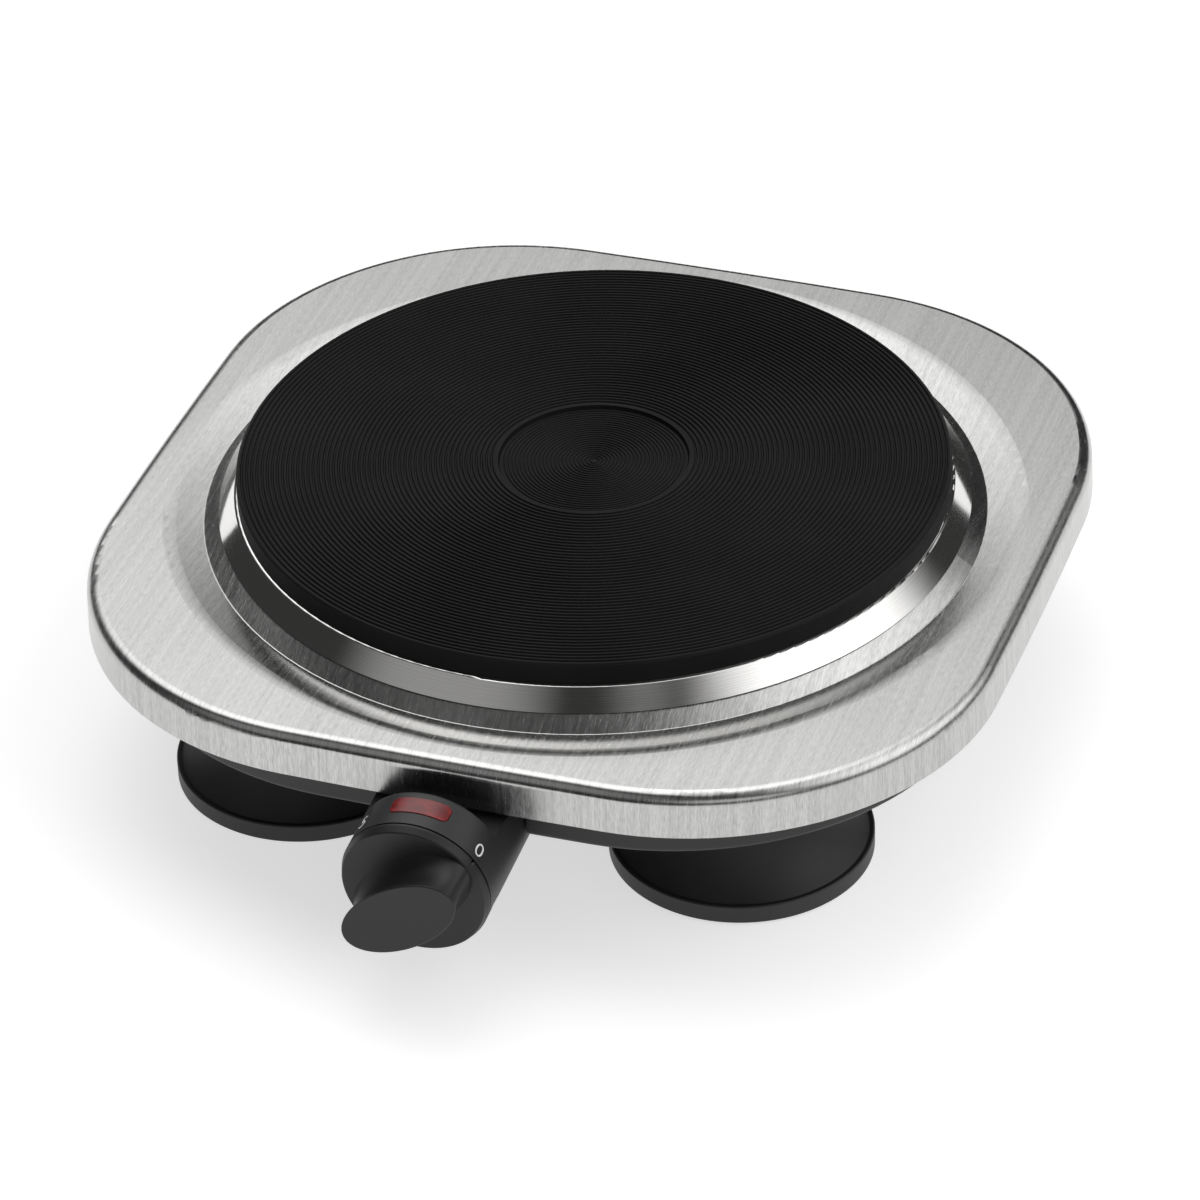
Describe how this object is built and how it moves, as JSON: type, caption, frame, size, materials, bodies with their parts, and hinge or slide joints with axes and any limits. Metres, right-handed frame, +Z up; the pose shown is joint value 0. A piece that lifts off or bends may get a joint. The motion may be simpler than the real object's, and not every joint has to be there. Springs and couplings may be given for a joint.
{
  "type": "hot plate burner",
  "caption": "Single electric hot plate: round grooved cast-iron plate in a brushed steel cover, bell-shaped feet and a front heat knob with a red pilot lens.",
  "frame": {"origin": "centre of the footprint's bounding box, on the table plane under the feet", "axes": "+Z up; the control knob points along -Y, tilted slightly down; +X is to the right seen from the front"},
  "size_m": [0.2348, 0.2665, 0.0655],
  "materials": {
    "cast_iron_plate": "matte black heat-cured cast iron with machined concentric grooves",
    "coil": "oxidised resistance wire sheath",
    "ceramic": "unglazed off-white ceramic",
    "zinc_steel": "zinc-plated sheet steel",
    "bright_steel": "bright zinc-plated steel",
    "polished_ring": "polished stainless steel",
    "brushed_cover": "stainless steel with a straight brushed grain",
    "black_pan": "satin black stove enamel",
    "shield": "bright aluminised sheet",
    "black_housing": "satin black heat-resistant plastic",
    "black_feet": "satin black heat-resistant plastic",
    "black_knob": "fine-textured black heat-resistant plastic",
    "red_lens": "translucent red lens",
    "lamp_glass": "clear glass lamp with an orange glow gas",
    "brass_parts": "turned and stamped brass",
    "cutout": "phenolic plastic with a metal cap",
    "gland": "moulded black bushing",
    "pad_rubber": "soft black rubber",
    "lead_brown": "brown silicone-sleeved wire",
    "lead_blue": "blue silicone-sleeved wire",
    "lead_white": "white glass-fibre-sleeved wire",
    "lead_green": "green and yellow silicone-sleeved wire",
    "plain_aluminium": "blank brushed aluminium plate"
  },
  "bodies": {
    "body": {"base_pan": "black_pan", "base_screws": "bright_steel", "body_cover": "brushed_cover", "bushing_nut": "brass_parts", "centre_stud": "bright_steel", "clamp_bridge": "zinc_steel", "clamp_nut": "bright_steel", "clamp_washer": "bright_steel", "coil_terminals": "bright_steel", "control_housing": "black_housing", "cord_gland": "gland", "cover_brackets": "zinc_steel", "earth_screw": "brass_parts", "earth_tag": "brass_parts", "foot_front_left": "black_feet", "foot_front_right": "black_feet", "foot_nuts": "bright_steel", "foot_pad_front_left": "pad_rubber", "foot_pad_front_right": "pad_rubber", "foot_pad_rear_left": "pad_rubber", "foot_pad_rear_right": "pad_rubber", "foot_rear_left": "black_feet", "foot_rear_right": "black_feet", "foot_screws": "bright_steel", "heat_shield": "shield", "heating_coil": "coil", "hotplate_casting": "cast_iron_plate", "housing_screws": "bright_steel", "indicator_lens": "red_lens", "insulating_bed": "ceramic", "lamp_leads": "bright_steel", "lead_earth": "lead_green", "lead_live": "lead_brown", "lead_neutral": "lead_blue", "lead_switched": "lead_white", "neon_lamp": "lamp_glass", "plate_back_cover": "zinc_steel", "rating_plate": "plain_aluminium", "shield_spacers": "bright_steel", "spill_ring": "polished_ring", "terminal_block": "ceramic", "terminal_bushings": "ceramic", "terminal_screws": "brass_parts", "thermal_cutout": "cutout", "thermostat_body": "ceramic", "thermostat_bushing": "brass_parts", "thermostat_terminals": "brass_parts"},
    "control_knob": {"knob": "black_knob", "thermostat_shaft": "bright_steel", "knob_spring_clip": "bright_steel"}
  },
  "joints": [
    {"name": "knob_turn", "type": "hinge", "parent": "body", "child": "control_knob", "pos_m": [0, -0.1187, 0.0293], "axis": [0, 0.9967, 0.0807], "range_deg": [0, 256]}
  ]
}
